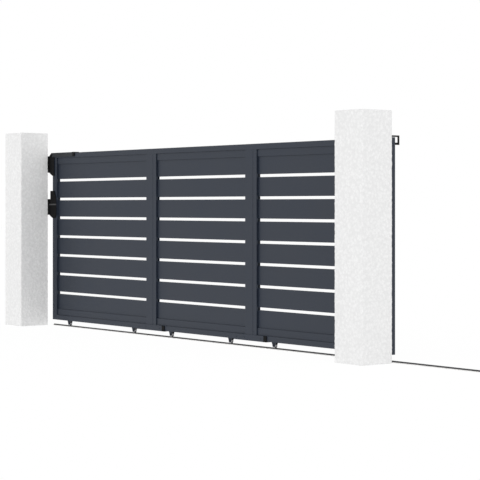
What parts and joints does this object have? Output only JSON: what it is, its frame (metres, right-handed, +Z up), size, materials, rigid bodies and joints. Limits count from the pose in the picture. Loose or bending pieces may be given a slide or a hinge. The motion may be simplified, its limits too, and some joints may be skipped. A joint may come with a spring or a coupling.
{
  "type": "sliding driveway gate",
  "caption": "Sliding driveway gate of horizontal boards in joined frame sections, on grooved wheels along a ground rail behind two square rendered pillars.",
  "frame": {"origin": "middle of the left pillar's base, at ground level", "axes": "+X along the gate towards the side it opens to, +Y from the street to the yard, +Z up"},
  "size_m": [9.463, 0.429, 1.86],
  "materials": {
    "white_render": "rough sprayed render",
    "anthracite_paint": "satin powder coat with a fine grain",
    "black_paint": "satin black",
    "grey_paint": "satin grey",
    "black_plastic": "moulded",
    "black_rubber": "matt",
    "rail_steel": "dull galvanised",
    "carrier_steel": "satin black",
    "wheel_steel": "turned",
    "lock_steel": "brushed"
  },
  "bodies": {
    "posts_and_rail": {"left_pillar": "white_render", "right_pillar": "white_render", "ground_rail": "rail_steel", "rail_stop": "black_paint", "stop_buffer": "black_rubber", "receiver_block": "black_paint", "receiver_channel": "grey_paint", "receiver_mouth": "black_paint", "closing_pad": "black_rubber", "lock_keeper": "black_paint", "keeper_strike": "lock_steel", "top_guide": "black_paint", "guide_pads": "black_plastic"},
    "leaf": {"joining_channel_1": "anthracite_paint", "joining_channel_2": "anthracite_paint", "joining_channel_cap_1": "black_plastic", "joining_channel_cap_2": "black_plastic", "leaf_lock": "lock_steel", "section_1_bands": "anthracite_paint", "section_1_boards": "anthracite_paint", "section_1_bottom_rail": "anthracite_paint", "section_1_left_stile": "anthracite_paint", "section_1_right_stile": "anthracite_paint", "section_2_bands": "anthracite_paint", "section_2_boards": "anthracite_paint", "section_2_bottom_rail": "anthracite_paint", "section_2_left_stile": "anthracite_paint", "section_2_right_stile": "anthracite_paint", "section_3_bands": "anthracite_paint", "section_3_boards": "anthracite_paint", "section_3_bottom_rail": "anthracite_paint", "section_3_left_stile": "anthracite_paint", "section_3_right_stile": "anthracite_paint", "top_rail_1": "anthracite_paint", "top_rail_2": "anthracite_paint", "top_rail_3": "anthracite_paint", "top_rail_caps": "anthracite_paint", "wheel_carrier_1": "carrier_steel", "wheel_carrier_2": "carrier_steel", "wheel_carrier_3": "carrier_steel", "wheel_carrier_4": "carrier_steel", "wheel_carrier_5": "carrier_steel", "wheel_carrier_6": "carrier_steel"},
    "wheel_1": {"wheel_1": "wheel_steel"},
    "wheel_2": {"wheel_2": "wheel_steel"},
    "wheel_3": {"wheel_3": "wheel_steel"},
    "wheel_4": {"wheel_4": "wheel_steel"},
    "wheel_5": {"wheel_5": "wheel_steel"},
    "wheel_6": {"wheel_6": "wheel_steel"}
  },
  "joints": [
    {"name": "leaf_slide", "type": "slide", "parent": "posts_and_rail", "child": "leaf", "axis": [1, 0, 0], "range_m": [0, 4.449]},
    {"name": "wheel_1_spin", "type": "hinge", "parent": "leaf", "child": "wheel_1", "pos_m": [0.49, 0.189, 0.0313], "axis": [0, 1, 0], "range_deg": [0, 15936.8]},
    {"name": "wheel_2_spin", "type": "hinge", "parent": "leaf", "child": "wheel_2", "pos_m": [1.5725, 0.189, 0.0313], "axis": [0, 1, 0], "range_deg": [0, 15936.8]},
    {"name": "wheel_3_spin", "type": "hinge", "parent": "leaf", "child": "wheel_3", "pos_m": [2.1455, 0.189, 0.0313], "axis": [0, 1, 0], "range_deg": [0, 15936.8]},
    {"name": "wheel_4_spin", "type": "hinge", "parent": "leaf", "child": "wheel_4", "pos_m": [2.9865, 0.189, 0.0313], "axis": [0, 1, 0], "range_deg": [0, 15936.8]},
    {"name": "wheel_5_spin", "type": "hinge", "parent": "leaf", "child": "wheel_5", "pos_m": [3.5595, 0.189, 0.0313], "axis": [0, 1, 0], "range_deg": [0, 15936.8]},
    {"name": "wheel_6_spin", "type": "hinge", "parent": "leaf", "child": "wheel_6", "pos_m": [4.642, 0.189, 0.0313], "axis": [0, 1, 0], "range_deg": [0, 15936.8]}
  ],
  "couplings": [
    {"joint": "wheel_1_spin", "follows": "leaf_slide", "rad_per_m": 62.5},
    {"joint": "wheel_2_spin", "follows": "leaf_slide", "rad_per_m": 62.5},
    {"joint": "wheel_3_spin", "follows": "leaf_slide", "rad_per_m": 62.5},
    {"joint": "wheel_4_spin", "follows": "leaf_slide", "rad_per_m": 62.5},
    {"joint": "wheel_5_spin", "follows": "leaf_slide", "rad_per_m": 62.5},
    {"joint": "wheel_6_spin", "follows": "leaf_slide", "rad_per_m": 62.5}
  ]
}
